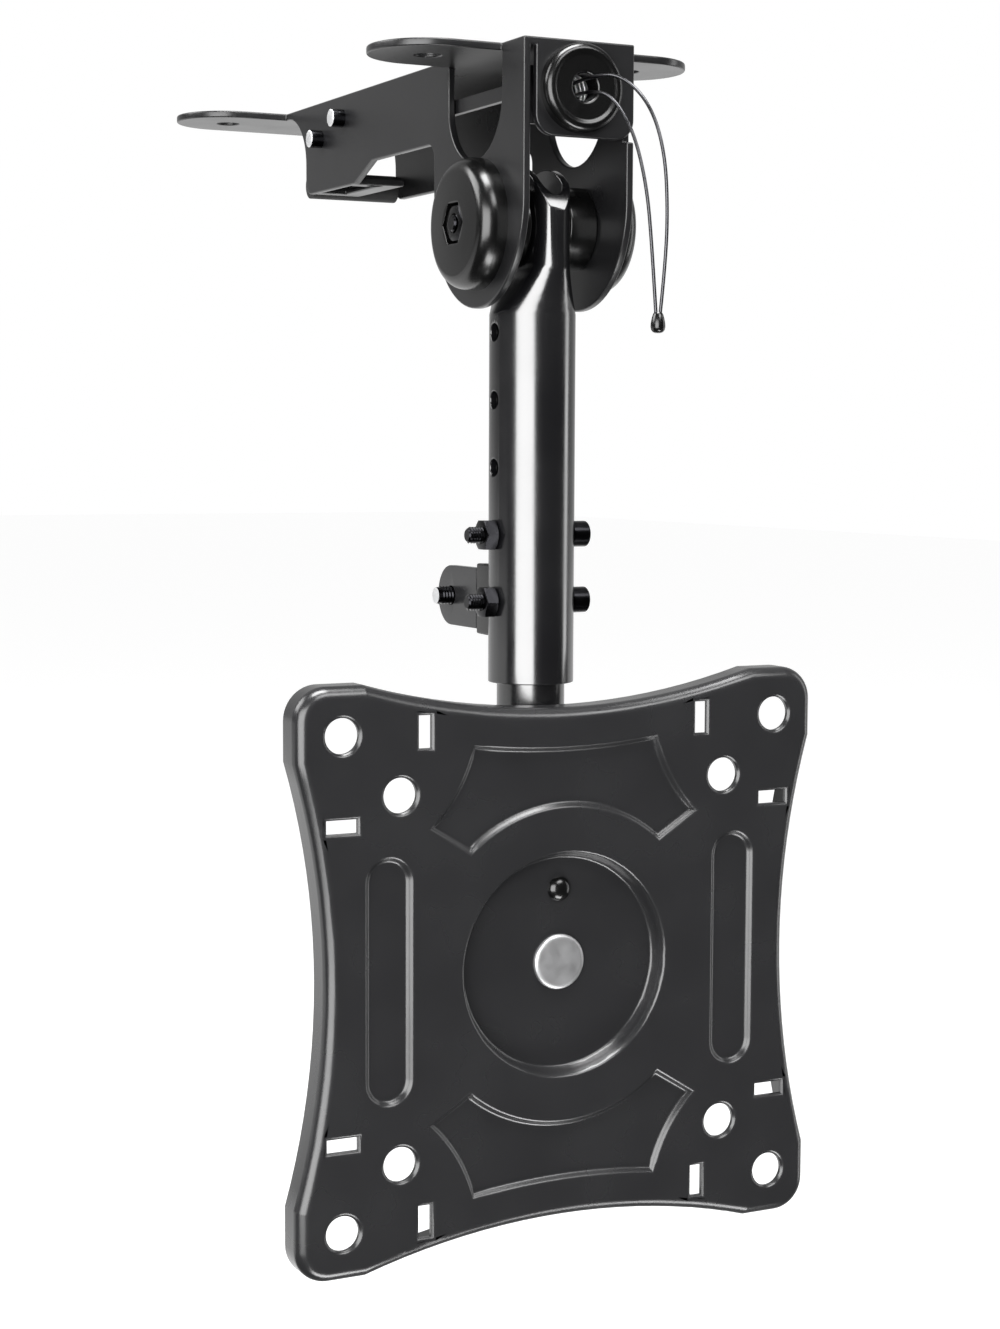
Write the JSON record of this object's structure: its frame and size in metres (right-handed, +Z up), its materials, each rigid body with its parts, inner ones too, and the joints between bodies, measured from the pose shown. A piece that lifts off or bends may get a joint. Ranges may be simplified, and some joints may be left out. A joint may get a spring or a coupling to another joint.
{
  "type": "under-cabinet tv mount",
  "caption": "Flip-down mount that screws up under a cabinet: folded channel, folding telescopic arm with a catch and pull wire, and a stamped screen plate that tilts and turns.",
  "frame": {"origin": "centre of the four cabinet screws, on the bracket's top face", "axes": "+Z up into the cabinet, the screen plate faces -Y, +X to the right as the picture shows it"},
  "size_m": [0.1196, 0.1756, 0.247],
  "materials": {
    "black_powder_coat": "satin black powder coat on steel",
    "black_plastic": "moulded black plastic, softly glossy",
    "black_steel": "blackened steel fasteners",
    "bright_steel": "zinc plated steel",
    "black_rubber": "matt black rubber"
  },
  "bodies": {
    "bracket": {"ceiling_bracket": "black_powder_coat", "grommet": "black_plastic", "pivot_bolt": "black_steel", "pivot_nut": "black_steel", "pivot_cap_left": "black_plastic", "pivot_cap_right": "black_plastic", "friction_disc_left": "black_plastic", "friction_disc_right": "black_plastic", "guide_pin": "bright_steel", "stop_pin": "bright_steel", "rear_bumper": "black_rubber", "latch_spring": "bright_steel"},
    "arm": {"outer_tube": "black_powder_coat", "height_bolt_upper": "black_steel", "height_bolt_lower": "black_steel", "height_nut_upper": "black_steel", "height_nut_lower": "black_steel", "saddle": "black_plastic", "striker_bracket": "black_steel", "striker_pin": "bright_steel"},
    "drop": {"inner_tube": "black_powder_coat", "tilt_bolt": "black_steel", "tilt_nut": "black_steel", "tilt_washer_left": "black_steel", "tilt_washer_right": "black_steel"},
    "tilt_head": {"tilt_fork": "black_powder_coat"},
    "screen": {"screen_plate": "black_powder_coat", "centre_rivet": "bright_steel", "swivel_washer": "black_plastic", "lock_screw": "black_steel", "lock_nut": "black_steel"},
    "latch": {"latch_bar": "black_steel", "wire_stop": "black_steel", "wire_upper": "bright_steel", "wire_lower": "bright_steel", "wire_ferrule": "black_steel"}
  },
  "joints": [
    {"name": "arm_fold", "type": "hinge", "parent": "bracket", "child": "arm", "pos_m": [0, -0.061, -0.0352], "axis": [1, 0, 0], "range_deg": [0, 90]},
    {"name": "height_slide", "type": "slide", "parent": "arm", "child": "drop", "axis": [0, 0, -1], "range_m": [0, 0.0285]},
    {"name": "screen_tilt", "type": "hinge", "parent": "drop", "child": "tilt_head", "pos_m": [0, -0.061, -0.1872], "axis": [1, 0, 0], "range_deg": [0, 15]},
    {"name": "screen_turn", "type": "hinge", "parent": "tilt_head", "child": "screen", "pos_m": [0, -0.074, -0.1872], "axis": [0, 1, 0], "range_deg": [-90, 90]},
    {"name": "latch_slide", "type": "slide", "parent": "bracket", "child": "latch", "axis": [0, 1, 0], "range_m": [0, 0.004]}
  ]
}
